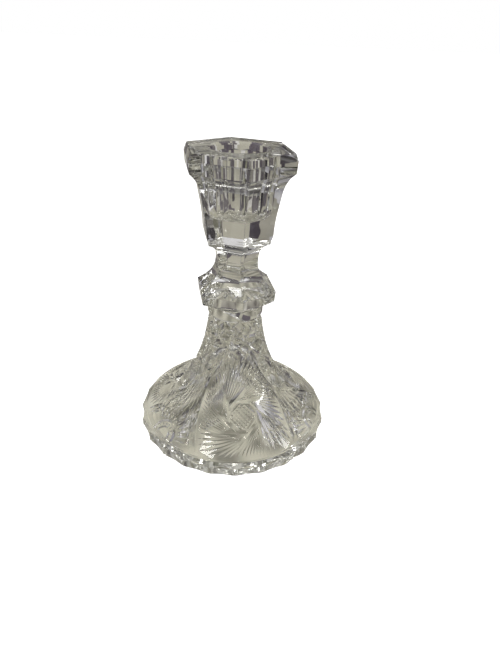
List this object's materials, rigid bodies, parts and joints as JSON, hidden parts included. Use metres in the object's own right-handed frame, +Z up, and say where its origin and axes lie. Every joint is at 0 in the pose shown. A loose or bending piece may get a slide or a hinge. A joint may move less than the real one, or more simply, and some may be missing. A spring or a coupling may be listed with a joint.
{
  "type": "candlestick",
  "caption": "Pressed clear-glass candlestick for one dinner candle: hexagonal cup, waisted neck, knop, collar and a hollow scalloped bell foot.",
  "frame": {"origin": "middle of the underside, on the surface that the foot stands on", "axes": "+Z up along the candle's axis; a corner of every hexagonal section points along -Y"},
  "size_m": [0.0882, 0.0882, 0.125],
  "materials": {
    "crystal": "polished clear lead-free crystal, pressed, with crisp cut-style facets"
  },
  "bodies": {
    "root": {"candle_cup": "crystal", "neck": "crystal", "knop": "crystal", "collar": "crystal", "bell_foot": "crystal"}
  },
  "joints": []
}
